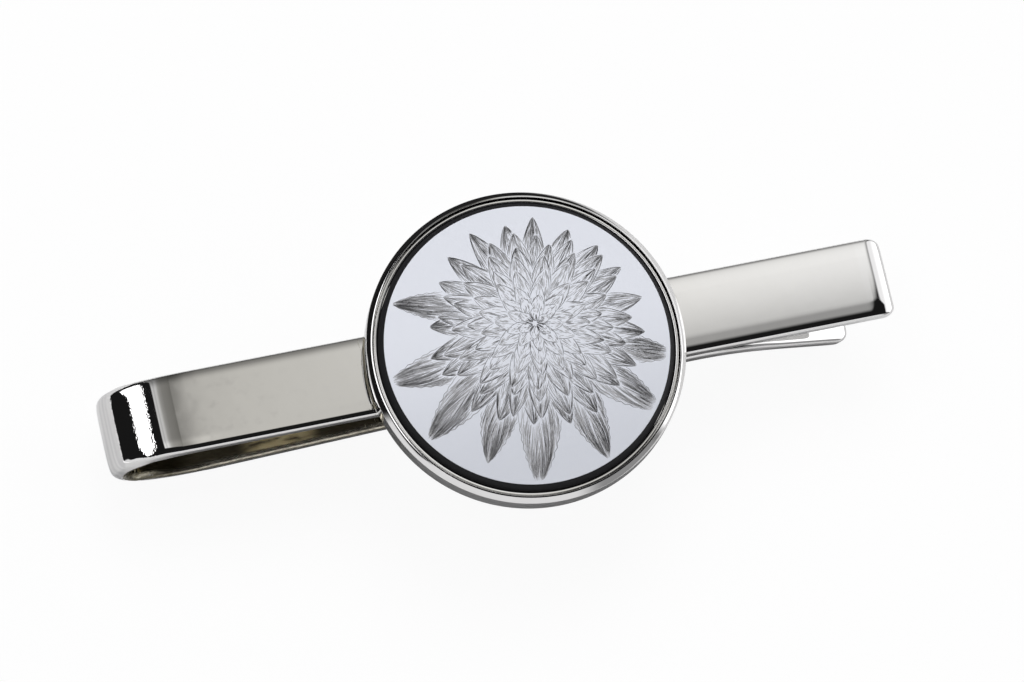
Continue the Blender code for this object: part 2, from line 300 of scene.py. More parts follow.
# %% The strip's finish
def strip_plating():
    finish, here, shine, dull, normal = plated_metal("polished_strip_plating")
    x, y, z = finish.parts(here)
    stretched = finish.ramp(x, *STRETCHED_FROM) * finish.ramp(x, *STRETCHED_LESS)
    normal = finish.bump(finish.noise(here, 9.0, 0.0) * stretched, GRAIN_DEPTH, normal)

    radius = (((x - TRAY_X) ** 2) + y * y) ** 0.5
    streaks = finish.noise(finish.place((7.0, 1.2, 3.0)), 1.0, 4.0, 0.7)
    stain = finish.ramp(radius, *STAIN_ROUND_TRAY) * finish.ramp(streaks, 0.56, 0.66)
    shine = finish.mixed(stain * 0.5, shine, YELLOW_STAIN)
    rubbing = finish.noise(finish.place((0.3, 0.04, 2.4)), 1.0, 1.0)
    rubbed = finish.ramp(rubbing * finish.ramp(x, *RUBBED_HEEL), 0.42, 0.62, 0.0, 0.28)
    shine = finish.mixed(rubbed, shine, RUBBED_GREY)

    inner = finish.node("ShaderNodeAttribute", {"attribute_name": "inner_side"}, output="Fac")
    inner = inner * finish.ramp(x, *FOLD_BEGINS)
    shine = finish.mixed(inner, shine, WARM_METAL)
    # Painted shade: the colour turns dark deep in the fold, towards the heel
    shine = finish.mixed(inner * finish.ramp(x, *FOLD_SHADE_DEEPENS), shine, PAINTED_FOLD_SHADE)
    aside = y - SIDE_SHIFT
    edge = inner * finish.ramp(aside.at_least(-1.0 * aside), *DUSTY_FROM_MIDDLE)
    dust = finish.ramp(finish.noise(finish.place((2.0, 5.0, 5.0)), 1.0, 3.0, 0.7), 0.40, 0.60)
    shine = finish.mixed(edge * dust, shine, EDGE_DUST)

    film = inner * finish.ramp(z, *UNDER_FRONT_LEAF)
    patches = finish.ramp(finish.noise(finish.place((0.5, 0.9, 0.9)), 1.0, 4.0, 0.6), 0.32, 0.52)
    patches = patches * finish.ramp(x, *PATCHES_BEGIN) * finish.ramp(x, *PATCHES_END)
    shine = finish.mixed(film, shine, finish.mixed(patches, DARK_FILM, PALE_PATCH))
    dull = dull + 0.25 * stain + 0.06 * inner + 0.6 * film + 0.22 * edge
    finish.surface(Base_Color=shine, Metallic=1 - 0.9 * film, Roughness=dull, Normal=normal)
    return finish


strip_finish = strip_plating()
print("The strip's finish is ready")

# %% [markdown]
# ## The bend line
#
# The strip follows one line seen from the side: a long run, a soft shoulder, a tight heel,
# a wide belly, the straight back leaf, the pinch and the flared tip. A strip that is bent
# over a tool doesn't change from straight to round at once. Its curvature grows over a
# short way, so the heading is averaged over 0.8 mm before the line is laid out.

# %% Lay out the strip's middle line
LEAF_LEVEL = 6.2362
RIGHT_END = 27.0
SOFTENING = 0.8
STEP = 0.02

# A name, the length of a run or the radius of a bend, and the degrees that a bend turns.
RUNS_AND_BENDS = [
    ("front leaf", 49.205, None),
    ("soft shoulder", 18.0, 2.5),
    ("shoulder", 6.0, 17.5),
    ("heel", 2.431, 137.0),
    ("belly", 9.0, 30.125),
    ("back leaf", 32.436, None),
    ("pinch", 12.0, -32.125),
    ("flared tip", 6.432, None),
]


def sharp_headings():
    """The heading at every step, in degrees, before it is softened."""
    headings = []
    heading = 180.0
    for _, size, turn in RUNS_AND_BENDS:
        length = size if turn is None else size * math.radians(abs(turn))
        steps = round(length / STEP)
        for step in range(steps):
            headings.append(heading + (turn or 0.0) * (step + 0.5) / steps)
        heading += turn or 0.0
    return headings


def bend_line():
    """Places along the line as (x, z, heading in radians, curvature), one per step."""
    sharp = sharp_headings()
    reach = round(SOFTENING / STEP / 2)
    padded = [sharp[0]] * reach + sharp + [sharp[-1]] * (reach + 1)
    x, z = RIGHT_END, LEAF_LEVEL
    places = []
    total = sum(padded[: 2 * reach])
    for index in range(len(sharp)):
        heading = math.radians(total / (2 * reach))
        change = math.radians(padded[index + 2 * reach] - padded[index])
        curvature = change / (2 * reach * STEP)
        places.append((x, z, heading, curvature))
        x += STEP * math.cos(heading)
        z += STEP * math.sin(heading)
        total += padded[index + 2 * reach] - padded[index]
    return places


line = bend_line()
print("The strip is", round(len(line) * STEP, 1), "mm long, and its tip is at", line[-1][:2])

# %% [markdown]
# ## The strip's section and its rounded ends
#
# Buffing wears an edge down well before the corner itself. From the flat the surface first
# tips over slowly, by a few degrees, and then turns through the small radius. The same
# profile rounds the long edges and, larger, the two free ends. Even the flat isn't quite
# flat: the wheel leaves it a hundredth of a millimetre higher in the middle, which spreads
# the reflection of the room across it.

# %% The profile of a buffed edge
WIDTH = 5.5
THICKNESS = 1.2
CROWN = 0.0044


def buffed_edge(soft_length, soft_angle, reach, depth, soft_steps, round_steps):
    """Pairs of distance travelled and height lost, from the flat to the side wall."""
    slope = math.tan(math.radians(soft_angle))
    pairs = []
    for step in range(soft_steps):
        share = step / soft_steps
        pairs.append((soft_length * share, soft_length * slope * share ** 3 / 3))
    lost = soft_length * slope / 3
    first = math.atan(slope * reach / depth)
    for step in range(round_steps + 1):
        angle = first + (math.pi / 2 - first) * step / round_steps
        along = soft_length + reach * (math.sin(angle) - math.sin(first))
        down = lost + depth * (math.cos(first) - math.cos(angle))
        pairs.append((along, down))
    return pairs


long_edge = buffed_edge(
    soft_length=1.05, soft_angle=10.0, reach=0.36, depth=0.34, soft_steps=10, round_steps=12
)
print("The long edges lose", round(long_edge[-1][1], 3), "mm of thickness at the side")

# %% The strip's section as a ring of corners
FLAT_CORNERS = 6


def crown_drop(across, flat):
    """How far the crowned face falls from its middle. Past the flat it falls straight on."""
    near = min(across, flat)
    return CROWN * near * near + 2 * CROWN * near * (across - near)


def strip_section():
    """Pairs of distance across the strip and height through it, once round."""
    start = WIDTH / 2 - long_edge[-1][0]
    quarter = [(start * step / FLAT_CORNERS, THICKNESS / 2) for step in range(FLAT_CORNERS)]
    quarter += [(start + along, THICKNESS / 2 - down) for along, down in long_edge]
    quarter = [(across, through - crown_drop(across, start)) for across, through in quarter]
    ring = quarter[:]
    ring += [(across, -through) for across, through in reversed(quarter)]
    ring += [(-across, -through) for across, through in quarter[1:]]
    ring += [(-across, through) for across, through in reversed(quarter[1:])]
    return ring


section = strip_section()
print("The section has", len(section), "corners")

# %% [markdown]
# ## Sweeping the section
#
# A bent strip's outer side is stretched and grows narrower, while its inner side is
# squeezed and grows wider. At a tight heel the side wall leans by some 20 degrees, which
# is why it shows as a broad bright lip there and as a thin line elsewhere.

# %% Rings of corners along the line
SIDE_SPREAD = 0.36


def ring_at(place, width_lost=0.0, outer_lost=0.0, inner_lost=0.0):
    """The section at a place on the line, with the millimetres that a nose takes off it."""
    x, z, heading, curvature = place
    outer = (math.sin(heading), -math.cos(heading))
    narrower = 1 - 2 * width_lost / WIDTH
    thinner = 1 - (outer_lost + inner_lost) / THICKNESS
    shift = (inner_lost - outer_lost) / 2
    ring = []
    for across, through in section:
        through = through * thinner + shift
        across = across * narrower * (1 - SIDE_SPREAD * curvature * through)
        ring.append((x + outer[0] * through, SIDE_SHIFT + across, z + outer[1] * through))
    return ring


def spaced(first, last, run_step=1.0, bend_step=1.5):
    """Places from one length to another, close together only where the strip bends."""
    start, end = round(first / STEP), min(round(last / STEP), len(line) - 1)
    picked = [line[start], line[start + 1]]
    since = 0.0
    turned = 0.0
    for index in range(start + 2, end - 1):
        since += STEP
        turned += abs(math.degrees(line[index][3])) * STEP
        if since >= run_step or turned >= bend_step:
            picked.append(line[index])
            since = 0.0
            turned = 0.0
    return picked + [line[end - 1], line[end]]


# %% [markdown]
# ## The free ends
#
# Each end of the strip is filed round and buffed. Its outer face bends down over two
# millimetres, while its corners are rounded in the strip's plane over the last one. So the
# section is drawn again and again towards the tip, thinner and narrower each time.

# %% The rounded nose of a free end
NOSE_ROUND = 0.9
NOSE_CORNER = 0.7
NOSE_INNER = 0.2
nose_edge = buffed_edge(
    soft_length=1.0, soft_angle=7.0, reach=1.2, depth=0.725, soft_steps=10, round_steps=16
)
NOSE_LENGTH = nose_edge[-1][0]


def nose_rings(from_start):
    """Rings of the front leaf's or the back leaf's free end, from the flat to the tip."""
    rings = []
    for along, down in nose_edge:
        length = NOSE_LENGTH - along
        index = round(length / STEP) if from_start else len(line) - 1 - round(length / STEP)
        place = line[min(max(index, 0), len(line) - 1)]
        exact = length - round(length / STEP) * STEP
        sign = 1.0 if from_start else -1.0
        x = place[0] + sign * exact * math.cos(place[2])
        z = place[1] + sign * exact * math.sin(place[2])
        share = max(0.0, 1 - length / NOSE_ROUND)
        shrunk = 1 - math.sqrt(max(0.0, 1 - share * share))
        rings.append(
            ring_at((x, z, place[2], place[3]), NOSE_CORNER * shrunk, down, NOSE_INNER * shrunk)
        )
    return rings


print("A nose is", round(NOSE_LENGTH, 2), "mm long and", round(nose_edge[-1][1], 2), "mm lower")

# %% [markdown]
# ## One strip in three lengths
#
# The CAD model cuts the strip at both ends of the heel, so that its flex can be a joint. The
# front length rides on the front body and the back length on the back body. The heel stays
# where it lies. The inner side of every length is marked, because the fold has a finish of
# its own.

# %% The three lengths of the strip
FRONT_SEAM = 49.24
BACK_SEAM = 62.90
TOTAL = len(line) * STEP
PLAIN_AFTER_NOSE = 0.2
INNER_SIDE_UNDER = -0.2
INSIDE = (1.0, 1.0, 1.0, 1.0)
OUTSIDE = (0.0, 0.0, 0.0, 1.0)


def add_strip_length(name, rings, node):
    """A length of the strip, with the inside of the fold marked for its finish."""
    sides = [INSIDE if through < INNER_SIDE_UNDER else OUTSIDE for _, through in section]
    marks = sides * len(rings)
    corners, faces = joined_rings(rings)
    return add_piece(
        name, corners, faces, strip_finish, "plated_metal", [node], ("inner_side", marks)
    )


front_rings = list(reversed(nose_rings(True)))
front_rings += [ring_at(place) for place in spaced(NOSE_LENGTH + PLAIN_AFTER_NOSE, FRONT_SEAM)]
bend_rings = [ring_at(place) for place in spaced(FRONT_SEAM, BACK_SEAM)]
plain_end = TOTAL - NOSE_LENGTH - PLAIN_AFTER_NOSE
back_rings = [ring_at(place) for place in spaced(BACK_SEAM, plain_end)]
back_rings += nose_rings(False)

front_leaf = add_strip_length("polished_front_leaf", front_rings, "front_leaf")
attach(front_leaf, "front")
heel = add_strip_length("polished_heel", bend_rings, "spring_bend")
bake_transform(heel)
back_leaf = add_strip_length("polished_back_leaf", back_rings, "back_leaf")
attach(back_leaf, "back")

# %% [markdown]
# ## Turned pieces
#
# The tray, its inner ring and the disc are round, so each is a profile that is spun about
# the tray's axis. Small radii on every edge matter more than anything else: a sharp edge
# reflects nothing, and a radius of a tenth of a millimetre draws a bright line. The rim's
# narrow facet is bright at the far side and dark at the near side, like a seam.

# %% Spin a profile about the tray's axis
LEAF_TOP = 6.8348
SEGMENTS = 256


def round_the_tray(radius, turn, level):
    """The place at a radius, an angle in radians and a height over the leaf."""
    return TRAY_X + radius * math.cos(turn), radius * math.sin(turn), LEAF_TOP + level


def spun(profile, looped=False):
    """Circles at each (radius, height over the leaf) of a profile, joined to a surface."""
    turns = [2 * math.pi * segment / SEGMENTS for segment in range(SEGMENTS)]
    rings = [[round_the_tray(radius, turn, level) for turn in turns] for radius, level in profile]
    return joined_rings(rings, looped)


def rounding(centre, radius, first, last, steps):
    """Corners of an arc about a centre, from one angle to another in degrees."""
    points = []
    for step in range(steps + 1):
        angle = math.radians(first + (last - first) * step / steps)
        points.append((centre[0] + radius * math.cos(angle), centre[1] + radius * math.sin(angle)))
    return points


print("One turn has", SEGMENTS, "steps")

# %% The tray and the ring inside it
tray_foot = [(10.0, 0.12)] + rounding((10.64, 0.23), 0.11, -90, 0, 6)
tray_shoulder = rounding((10.70, 1.54), 0.05, 5, 45, 5)
tray_shoulder += [(10.68, 1.640), (10.60, 1.722), (10.50, 1.812)]
tray_facet = rounding((10.410, 1.854), 0.030, 50, 75, 4) + [(10.378, 1.8945)]
tray_facet += rounding((10.3355, 1.8845), 0.020, 78, 180, 7)
tray_floor = [(10.315, 0.62), (9.0, 0.62)]
tray_profile = tray_foot + tray_shoulder + tray_facet + tray_floor

ring_profile = [(9.985, 0.64), (10.255, 0.64)]
ring_profile += rounding((10.170, 1.615), 0.085, 0, 92, 10)
ring_profile += rounding((10.110, 1.575), 0.125, 93, 180, 12)

tray = add_piece("polished_tray", *spun(tray_profile), tray_finish, "plated_metal", ["tray"])
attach(tray, "front")
ring = add_piece(
    "polished_ring", *spun(ring_profile, looped=True), tray_finish, "plated_metal", ["bezel_ring"]
)
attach(ring, "front")

# %% [markdown]
# ## Solder and what it leaves
#
# The tray is soldered to the leaf. A little of the solder creeps out at its foot and sets
# as an uneven, slightly yellow bead. Polishing paste collects in the narrow groove between
# rim and ring, and dries there as grey and white crumbs.

# %% The bead of solder at the tray's foot
rng = random.Random(7)
solder_finish = new_finish("yellowish_solder")
solder_here = solder_finish.place()
solder_grain = solder_finish.noise(solder_here, 8.0, 3.0, 0.6)
solder_finish.surface(
    Base_Color=solder_finish.mixed(solder_grain, (0.42, 0.39, 0.29, 1.0), (0.60, 0.56, 0.44, 1.0)),
    Metallic=1.0,
    Roughness=0.22 + 0.3 * solder_grain,
    Normal=solder_finish.bump(solder_grain, 8e-6),
)


def uneven(turn, waves):
    return sum(size * math.sin(rate * turn + phase) for size, rate, phase in waves)


BEAD_MIDDLE = 3.5
BEAD_HALF = 13.1
BEAD_STEPS = 96


def bead_outline(lump):
    """The bead's section as (radius, height over the leaf), from under the tray outwards."""
    return [
        (10.2, 0.022),
        (10.2, 0.11),
        (10.66, 0.113),
        (10.70 + lump / 2, 0.13 + lump / 2),
        (10.76 + lump / 2, 0.09 + lump / 3),
        (10.79 + lump, 0.04),
        (10.81 + lump, 0.022),
    ]


def solder_bead():
    """Two low beads, one at either side, joined by nothing: each is a tube of its own."""
    corners, faces = [], []
    for middle in (BEAD_MIDDLE, 180 - BEAD_MIDDLE):
        waves = [(0.010, 31, rng.uniform(0, 6)), (0.008, 67, rng.uniform(0, 6)), (0.004, 151, 1.0)]
        rings = []
        for step in range(BEAD_STEPS + 1):
            turn = math.radians(middle - BEAD_HALF + 2 * BEAD_HALF * step / BEAD_STEPS)
            outline = bead_outline(uneven(turn, waves))
            rings.append([round_the_tray(radius, turn, level) for radius, level in outline])
        more_corners, more_faces = joined_rings(rings)
        shift = len(corners)
        corners += more_corners
        faces += [tuple(index + shift for index in face) for face in more_faces]
    return corners, faces


bead = add_piece("solder_bead", *solder_bead(), solder_finish, "solder", ["solder_joint"])
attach(bead, "front")

# %% Crumbs of polishing paste in the groove
crumb_finish = new_finish("dried_polishing_paste")
crumb_tone = crumb_finish.ramp(crumb_finish.noise(crumb_finish.place(), 9.0, 1.0), 0.4, 0.6)
crumb_finish.surface(
    Base_Color=crumb_finish.mixed(crumb_tone, (0.06, 0.055, 0.045, 1.0), (0.72, 0.72, 0.72, 1.0)),
    Roughness=0.7 + 0.2 * crumb_tone,
    Normal=crumb_finish.bump(crumb_tone, 4e-6),
)
CRUMBS = 150
SEAM_RADIUS = 10.285
SEAM_LEVEL = 1.74
MOST_CRUMBS_AT = math.radians(195)
CRUMB_SPREAD = math.radians(38)


def add_grain(corners, faces, middle, size):
    """An uneven grain with six corners and eight faces."""
    start = len(corners)
    for axis in range(3):
        for sign in (-1, 1):
            offset = [rng.uniform(-0.4, 0.4) * size for _ in range(3)]
            offset[axis] = sign * size * rng.uniform(0.7, 1.2)
            corners.append(tuple(middle + Vector(offset)))
    for x in (0, 1):
        for y in (2, 3):
            for z in (4, 5):
                face = (start + x, start + y, start + z)
                faces.append(face if (x + y + z) % 2 else tuple(reversed(face)))


def crumbs():
    corners, faces = [], []
    for _ in range(CRUMBS):
        turn = rng.gauss(MOST_CRUMBS_AT, CRUMB_SPREAD)
        size = rng.uniform(0.010, 0.028)
        radius = SEAM_RADIUS + rng.uniform(-0.02, 0.02)
        add_grain(corners, faces, Vector(round_the_tray(radius, turn, SEAM_LEVEL)), size)
    return corners, faces


grit = add_piece("paste_crumbs", *crumbs(), crumb_finish, "adhesive")
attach(grit, "front")

# %% [markdown]
# ## Nodules and the hidden pad
#
# Plating grows too fast on a burr. Inside the fold a few bright nodules sit on the back
# leaf's near edge, where no wheel took them off. Under the disc lies a pad of foam tape. It
# is hidden, so the CAD model's own shape will do for it, with a foam's finish.

# %% Bright nodules of plating inside the fold
NODULE_PLACES = [56.6, 56.75, 56.85, 57.0, 57.1, 57.8, 58.3, 58.4, 58.55, 58.65, 59.4]


def fold_nodules():
    """Grains on the inside of the belly, at lengths along the strip, sunk into the metal."""
    corners, faces = [], []
    for length in NODULE_PLACES:
        x, z, heading, _ = line[round((length + rng.uniform(-0.1, 0.1)) / STEP)]
        size = rng.uniform(0.035, 0.065)
        inside = THICKNESS / 2 - 0.3 * size - 0.10
        y = SIDE_SHIFT - rng.uniform(2.46, 2.60)
        middle = Vector((x - math.sin(heading) * inside, y, z + math.cos(heading) * inside))
        add_grain(corners, faces, middle, size)
    return corners, faces


nodule_finish = new_finish("bright_nodules")
nodule_tone = nodule_finish.noise(nodule_finish.place(), 20.0, 1.0)
nodule_finish.surface(
    Base_Color=nodule_finish.mixed(nodule_tone, (0.84, 0.84, 0.83, 1.0), (0.95, 0.95, 0.95, 1.0)),
    Metallic=1.0,
    Roughness=0.15 + 0.2 * nodule_tone,
)
nodules = add_piece("plating_nodules", *fold_nodules(), nodule_finish, "plated_metal")
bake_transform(nodules)

# %% The pad of adhesive under the disc
pad_finish = new_finish("foam_adhesive")
foam = pad_finish.noise(pad_finish.place(), 12.0, 2.0)
pad_finish.surface(
    Base_Color=pad_finish.mixed(foam, (0.68, 0.64, 0.53, 1.0), (0.80, 0.78, 0.69, 1.0)),
    Roughness=0.6 + 0.2 * foam,
    Normal=pad_finish.bump(foam, 12e-6),
)
pad_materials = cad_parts["adhesive_disc"].data.materials
pad_materials.clear()
pad_materials.append(pad_finish.owner)
print("The pad has", len(pad_materials), "finish")

# %% [markdown]
# ## The two-layer disc
#
# The insert is an engraver's laminate: a thin pale skin on a black core. Its edge is cut at
# a slant, so the core shows as a black ring all round the picture. The core is matt where
# the cutter went, with fine turning marks that catch a little light.

# %% The black core
core_finish = new_finish("black_laminate_core")
core_here = core_finish.place()
grain = core_finish.noise(core_here, 9.0, 3.0, 0.6)
core_finish.surface(
    Base_Color=core_finish.mixed(grain, (0.008, 0.008, 0.009, 1.0), (0.016, 0.016, 0.018, 1.0)),
    Roughness=0.45 + 0.25 * grain,
    Normal=core_finish.bump(grain, 2e-6),
    Specular_IOR_Level=0.3,
)
core_profile = [(9.0, 0.76), (9.93, 0.76), (9.95, 0.78), (9.95, 1.67), (9.94, 1.69), (9.60, 2.10)]
core_profile += [(9.57, 2.12), (9.0, 2.12)]
core = add_piece("black_core", *spun(core_profile), core_finish, "black_core", ["core_disc"])
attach(core, "front")

# %% The pale skin
skin_finish = new_finish("pale_picture_skin")
skin_here = skin_finish.place()
mottle = skin_finish.noise(skin_here, 2.2, 3.0)
_, skin_y, _ = skin_finish.parts(skin_here)
# Painted shade: the skin's colour is lighter towards the far side and darker towards the near side,
# with a little mottle of real tone
painted_shade_and_mottle = skin_finish.ramp(skin_y, -9.0, 3.0, 0.0, 0.9) + 0.1 * mottle
skin_finish.surface(
    Base_Color=skin_finish.mixed(painted_shade_and_mottle, (0.610, 0.630, 0.680, 1.0), (0.775, 0.797, 0.855, 1.0)),
    Roughness=0.48 + 0.1 * mottle,
    Normal=skin_finish.bump(skin_finish.noise(skin_here, 14.0, 2.0), 0.6e-6),
    Specular_IOR_Level=0.2,
)
SKIN_TOP = 2.192
skin_profile = [(9.0, 2.14), (9.59, 2.14), (9.59, SKIN_TOP - 0.012), (9.58, SKIN_TOP)]
skin_profile += [(9.0, SKIN_TOP)]
skin = add_piece(
    "picture_skin", *spun(skin_profile), skin_finish, "picture_white", ["picture_face"]
)
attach(skin, "front")

# %% [markdown]
# ## A drawing of thousands of strokes
#
# The picture is drawn as a pencil draws: with many fine tapered strokes that follow each
# form. A bloom is built from the back to the front. Every petal and leaf is a shape with
# its own lengthwise and crosswise measure, and a stroke is cut off where a nearer shape
# covers it. Strokes are more and darker where the form is in shade.

# %% Shapes that strokes can follow
drawing = random.Random(21)


class Blade:
    """A petal or a leaf: a curved middle line with a width that swells and tapers."""

    def __init__(self, root, angle, length, width, curl=0.0, fullness=0.8, notch=0.0):
        self.root, self.angle, self.length, self.width = root, angle, length, width
        self.curl, self.fullness, self.notch = curl, fullness, notch
        self.reach = length + width

    def half_width(self, along):
        """Half the width at a share of the length, with teeth along a leaf's border."""
        along = min(max(along, 0.0), 1.0)
        swell = math.sin(math.pi * along ** self.fullness) ** 0.75
        teeth = 1 - self.notch * abs(math.sin(13 * math.pi * along))
        return self.width * swell * teeth + 1e-6

    def point(self, along, side):
        """The place at a share of the length and of the half width."""
        run = along * self.length
        off = side * self.half_width(along) + self.curl * run * run / self.length
        cosine, sine = math.cos(self.angle), math.sin(self.angle)
        x = self.root[0] + run * cosine - off * sine
        y = self.root[1] + run * sine + off * cosine
        return x, y

    def holds(self, place):
        dx, dy = place[0] - self.root[0], place[1] - self.root[1]
        if dx * dx + dy * dy > self.reach * self.reach:
            return False
        cosine, sine = math.cos(self.angle), math.sin(self.angle)
        run = dx * cosine + dy * sine
        if not 0 < run < self.length:
            return False
        off = dy * cosine - dx * sine - self.curl * run * run / self.length
        return abs(off) < self.half_width(run / self.length)


# %% Strokes
OUTLINE_STEPS = 26
OUTLINE_WIDTH = 0.030
SHADING_STEPS = 5
PRINT_LEVEL = LEAF_TOP + SKIN_TOP
PICTURE_RADIUS = 9.35
LOWEST_STROKE = 0.0006
STROKE_PILE = 0.004
PILE_CORNERS = 400000
stroke_corners, stroke_faces, stroke_tones = [], [], []


def add_stroke(points, width, tone):
    """One tapered stroke through points, a hair's breadth over the strokes before it."""
    level = PRINT_LEVEL + LOWEST_STROKE + STROKE_PILE * len(stroke_tones) / PILE_CORNERS
    start = len(stroke_corners)
    last = len(points) - 1
    for index, (x, y) in enumerate(points):
        before, after = points[max(index - 1, 0)], points[min(index + 1, last)]
        dx, dy = after[0] - before[0], after[1] - before[1]
        size = math.hypot(dx, dy) or 1.0
        half = width / 2 * (0.15 + 0.85 * math.sin(math.pi * (index + 0.35) / (last + 0.7)) ** 0.7)
        for sign in (1, -1):
            stroke_corners.append((x - sign * dy / size * half, y + sign * dx / size * half, level))
            stroke_tones.append((tone, tone, tone * 1.02, 1.0))
    for index in range(last):
        at = start + 2 * index
        stroke_faces.append((at, at + 1, at + 3, at + 2))


def draw_visible(points, width, tone, nearer):
    """Draws the parts of a stroke that no nearer shape covers."""
    run = []
    for point in points:
        clear = math.hypot(*point) < PICTURE_RADIUS and not any(b.holds(point) for b in nearer)
        if clear:
            run.append(point)
        if not clear or point is points[-1]:
            if len(run) > 2:
                add_stroke(run, width, tone)
            run = []


def draw_blade(blade, nearer, shade, count, veins=0.0):
    """Outlines a blade and shades it. The shade takes (along, side) and returns 0 to 1."""
    for side in (-1, 1):
        for _ in range(2):
            offset = drawing.uniform(-0.02, 0.02)
            shares = [0.04 + 0.95 * step / OUTLINE_STEPS for step in range(OUTLINE_STEPS + 1)]
            points = [blade.point(share, side * (1 + offset)) for share in shares]
            draw_visible(points, OUTLINE_WIDTH, drawing.uniform(0.10, 0.2), nearer)
    for _ in range(count):
        along, side = drawing.random(), drawing.uniform(-0.97, 0.97)
        dark = shade(along, side)
        if drawing.random() > 0.3 + dark:
            continue
        length = drawing.uniform(0.08, 0.22) * (0.5 + dark)
        drift = drawing.uniform(-0.06, 0.06)
        points = []
        for step in range(SHADING_STEPS + 1):
            share = step / SHADING_STEPS - 0.5
            if veins:
                outward = 0.35 if side > 0 else -0.35
                points.append(blade.point(along + veins * share * 0.3, side + outward * share))
            else:
                points.append(blade.point(along + length * share, side + drift * share))
        points = [p for p in points if blade.holds(p)]
        tone = min(0.6, max(0.02, 0.46 - 0.44 * dark + drawing.uniform(-0.07, 0.07)))
        if len(points) > 2:
            draw_visible(points, drawing.uniform(0.02, 0.05), tone, nearer)


# %% [markdown]
# ## The flower
#
# A pencil artist darkens what lies deep. So a petal is dark at its root, in its fold and
# along its border, and a leaf has lighter veins between darker strokes. Rows of petals are
# laid from the outside inwards, and each row covers the roots of the row outside it.

# %% The bloom and its leaves
def petal_shade(depth):
    """Dark at the root and in the fold, light at the tip; deeper rows are darker."""

    def shade(along, side):
        root = max(0.0, 1 - along * 1.5) ** 1.3
        fold = math.exp(-((side * 3.2) ** 2)) * (0.45 - 0.3 * along)
        border = max(0.0, abs(side) - 0.72) * 0.9
        return min(1.0, depth + 0.95 * root + fold + border)

    return shade


def leaf_shade(along, side):
    vein = 0.30 * abs(math.sin(13 * math.pi * (along - 0.18 * abs(side)))) ** 3
    half = 0.14 if side > 0 else 0.0
    return 0.10 + half + vein + 0.4 * max(0.0, 1 - 3 * along) - 0.5 * math.exp(-((side * 14) ** 2))


BLOOM = (0.5, 1.5)
LEAF_ROOT = 2.6
LEAF_STROKES = 760

# A row of petals is (number, length, width, depth of shade), from the outermost inwards.
ROWS = [
    (20, 7.3, 0.92, 0.34),
    (19, 6.4, 0.86, 0.28),
    (17, 5.5, 0.80, 0.24),
    (15, 4.6, 0.72, 0.20),
    (13, 3.7, 0.62, 0.17),
    (11, 2.8, 0.52, 0.15),
    (9, 2.0, 0.42, 0.16),
    (6, 1.2, 0.30, 0.22),
]

# A leaf is (direction in degrees, length, width, curl).
LEAVES = [
    (-112, 7.6, 1.5, 0.10),
    (-150, 8.2, 1.5, -0.12),
    (-58, 7.8, 1.5, -0.08),
    (170, 7.0, 1.2, 0.10),
    (-15, 7.2, 1.2, 0.10),
    (-132, 8.4, 1.5, 0.04),
    (-36, 7.8, 1.4, 0.05),
    (-86, 8.6, 1.6, -0.05),
]


def off_the_middle(distance, angle):
    return BLOOM[0] + distance * math.cos(angle), BLOOM[1] + distance * math.sin(angle)


shapes = []
for degrees, length, width, curl in LEAVES:
    angle = math.radians(degrees)
    leaf = Blade(off_the_middle(LEAF_ROOT, angle), angle, length, width, curl, 0.72, 0.12)
    shapes.append((leaf, leaf_shade, LEAF_STROKES, 1.0))
for row, (count, length, width, depth) in enumerate(ROWS):
    for number in range(count):
        angle = 2 * math.pi * (number + 0.5 * (row % 2)) / count + drawing.uniform(-0.06, 0.06)
        size = length * drawing.uniform(0.94, 1.05)
        root = off_the_middle(0.12 * length, angle)
        petal_width = width * drawing.uniform(0.92, 1.08)
        curl = drawing.uniform(-0.06, 0.06)
        petal = Blade(root, angle, 0.88 * size, petal_width, curl, 0.95)
        shapes.append((petal, petal_shade(depth), round(60 * size * width + 30), 0.0))

for index, (blade, shade, count, veins) in enumerate(shapes):
    nearer = [other for other, *_ in shapes[index + 1:]]
    draw_blade(blade, nearer, shade, count, veins)
print(len(stroke_faces), "faces in the drawing")

# %% Turn the drawing upright and print it
PRINT_TURN = 0.2325


def printed(corner):
    cosine, sine = math.cos(-PRINT_TURN), math.sin(-PRINT_TURN)
    x, y, z = corner
    return TRAY_X + x * cosine - y * sine, x * sine + y * cosine, z


pencil = new_finish("pencil_strokes")
tone_mark = pencil.node("ShaderNodeAttribute", {"attribute_name": "tone"}, output="Color")
pencil_grain = pencil.noise(pencil.place(), 30.0, 2.0)
pencil.surface(
    Base_Color=pencil.mixed(0.25 * pencil_grain, tone_mark, (0.78, 0.79, 0.84, 1.0)),
    Roughness=0.5 + 0.2 * pencil_grain,
    Normal=pencil.bump(pencil_grain, 0.3e-6),
    Specular_IOR_Level=0.2,
)
picture = add_piece(
    "pencil_flower",
    [printed(corner) for corner in stroke_corners],
    stroke_faces,
    pencil,
    "picture_white",
    marks=("tone", stroke_tones),
)
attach(picture, "front")

# %% [markdown]
# ## The studio
#
# A mirror-bright object is lit by what it can see. The world here is a plain dome with a
# few soft panels. Each is a mask on the direction of view, and `along` and `beyond` are
# that direction's parts along the clip and across it. The ceiling panel's brightness runs
# along a ramp, because every bend of the strip spreads that ramp out as a band.

# %% The ceiling's brightness along the clip
dome = bpy.data.worlds.new("studio_dome")
bpy.context.scene.world = dome
sky = Finish(dome)
along, beyond, height = sky.parts(sky.node("ShaderNodeTexCoord", output="Generated"))

